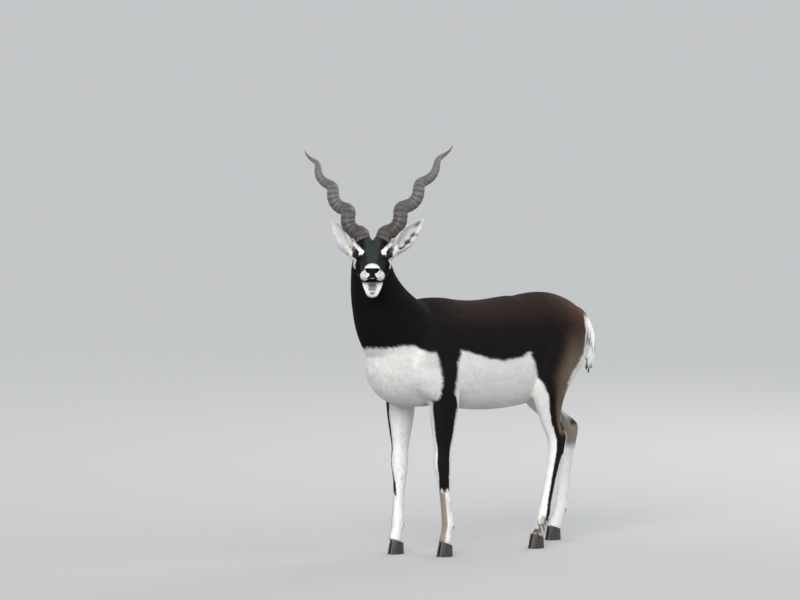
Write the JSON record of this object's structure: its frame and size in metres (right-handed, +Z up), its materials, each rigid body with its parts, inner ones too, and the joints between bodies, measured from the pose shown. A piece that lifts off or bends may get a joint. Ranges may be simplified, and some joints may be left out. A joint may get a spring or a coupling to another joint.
{
  "type": "blackbuck",
  "caption": "Standing male blackbuck antelope with long spiralling ringed horns, its head turned to its left and mouth a little open; a still, life-size animal model.",
  "frame": {"origin": "on the ground, under the middle of the model's box", "axes": "+Z is up. The body faces -Y, so +X is the animal's own left. The head is turned about 48 degrees to the animal's left, towards +X."},
  "size_m": [0.4726, 1.0556, 1.2491],
  "materials": {
    "coat_black": "short dense black hair",
    "coat_brown": "short dark brown hair, black along the sides",
    "coat_white": "short white hair",
    "horn": "ringed grey-brown horn, satin",
    "hoof": "dark horn, satin",
    "eye": "wet, nearly black"
  },
  "bodies": {
    "root": {"head": "coat_black", "neck": "coat_black", "torso": "coat_brown", "tail": "coat_white", "foreleg_left_upper": "coat_black", "foreleg_left_lower": "coat_white", "hindleg_left_upper": "coat_black", "hindleg_left_lower": "coat_white", "hoof_foreleg_left_outer": "hoof", "hoof_foreleg_left_inner": "hoof", "hoof_hindleg_left_outer": "hoof", "hoof_hindleg_left_inner": "hoof", "horn_left": "horn", "ear_left": "coat_white", "eye_left": "eye", "foreleg_right_upper": "coat_black", "foreleg_right_lower": "coat_white", "hindleg_right_upper": "coat_black", "hindleg_right_lower": "coat_white", "hoof_foreleg_right_outer": "hoof", "hoof_foreleg_right_inner": "hoof", "hoof_hindleg_right_outer": "hoof", "hoof_hindleg_right_inner": "hoof", "horn_right": "horn", "ear_right": "coat_white", "eye_right": "eye"}
  },
  "joints": []
}
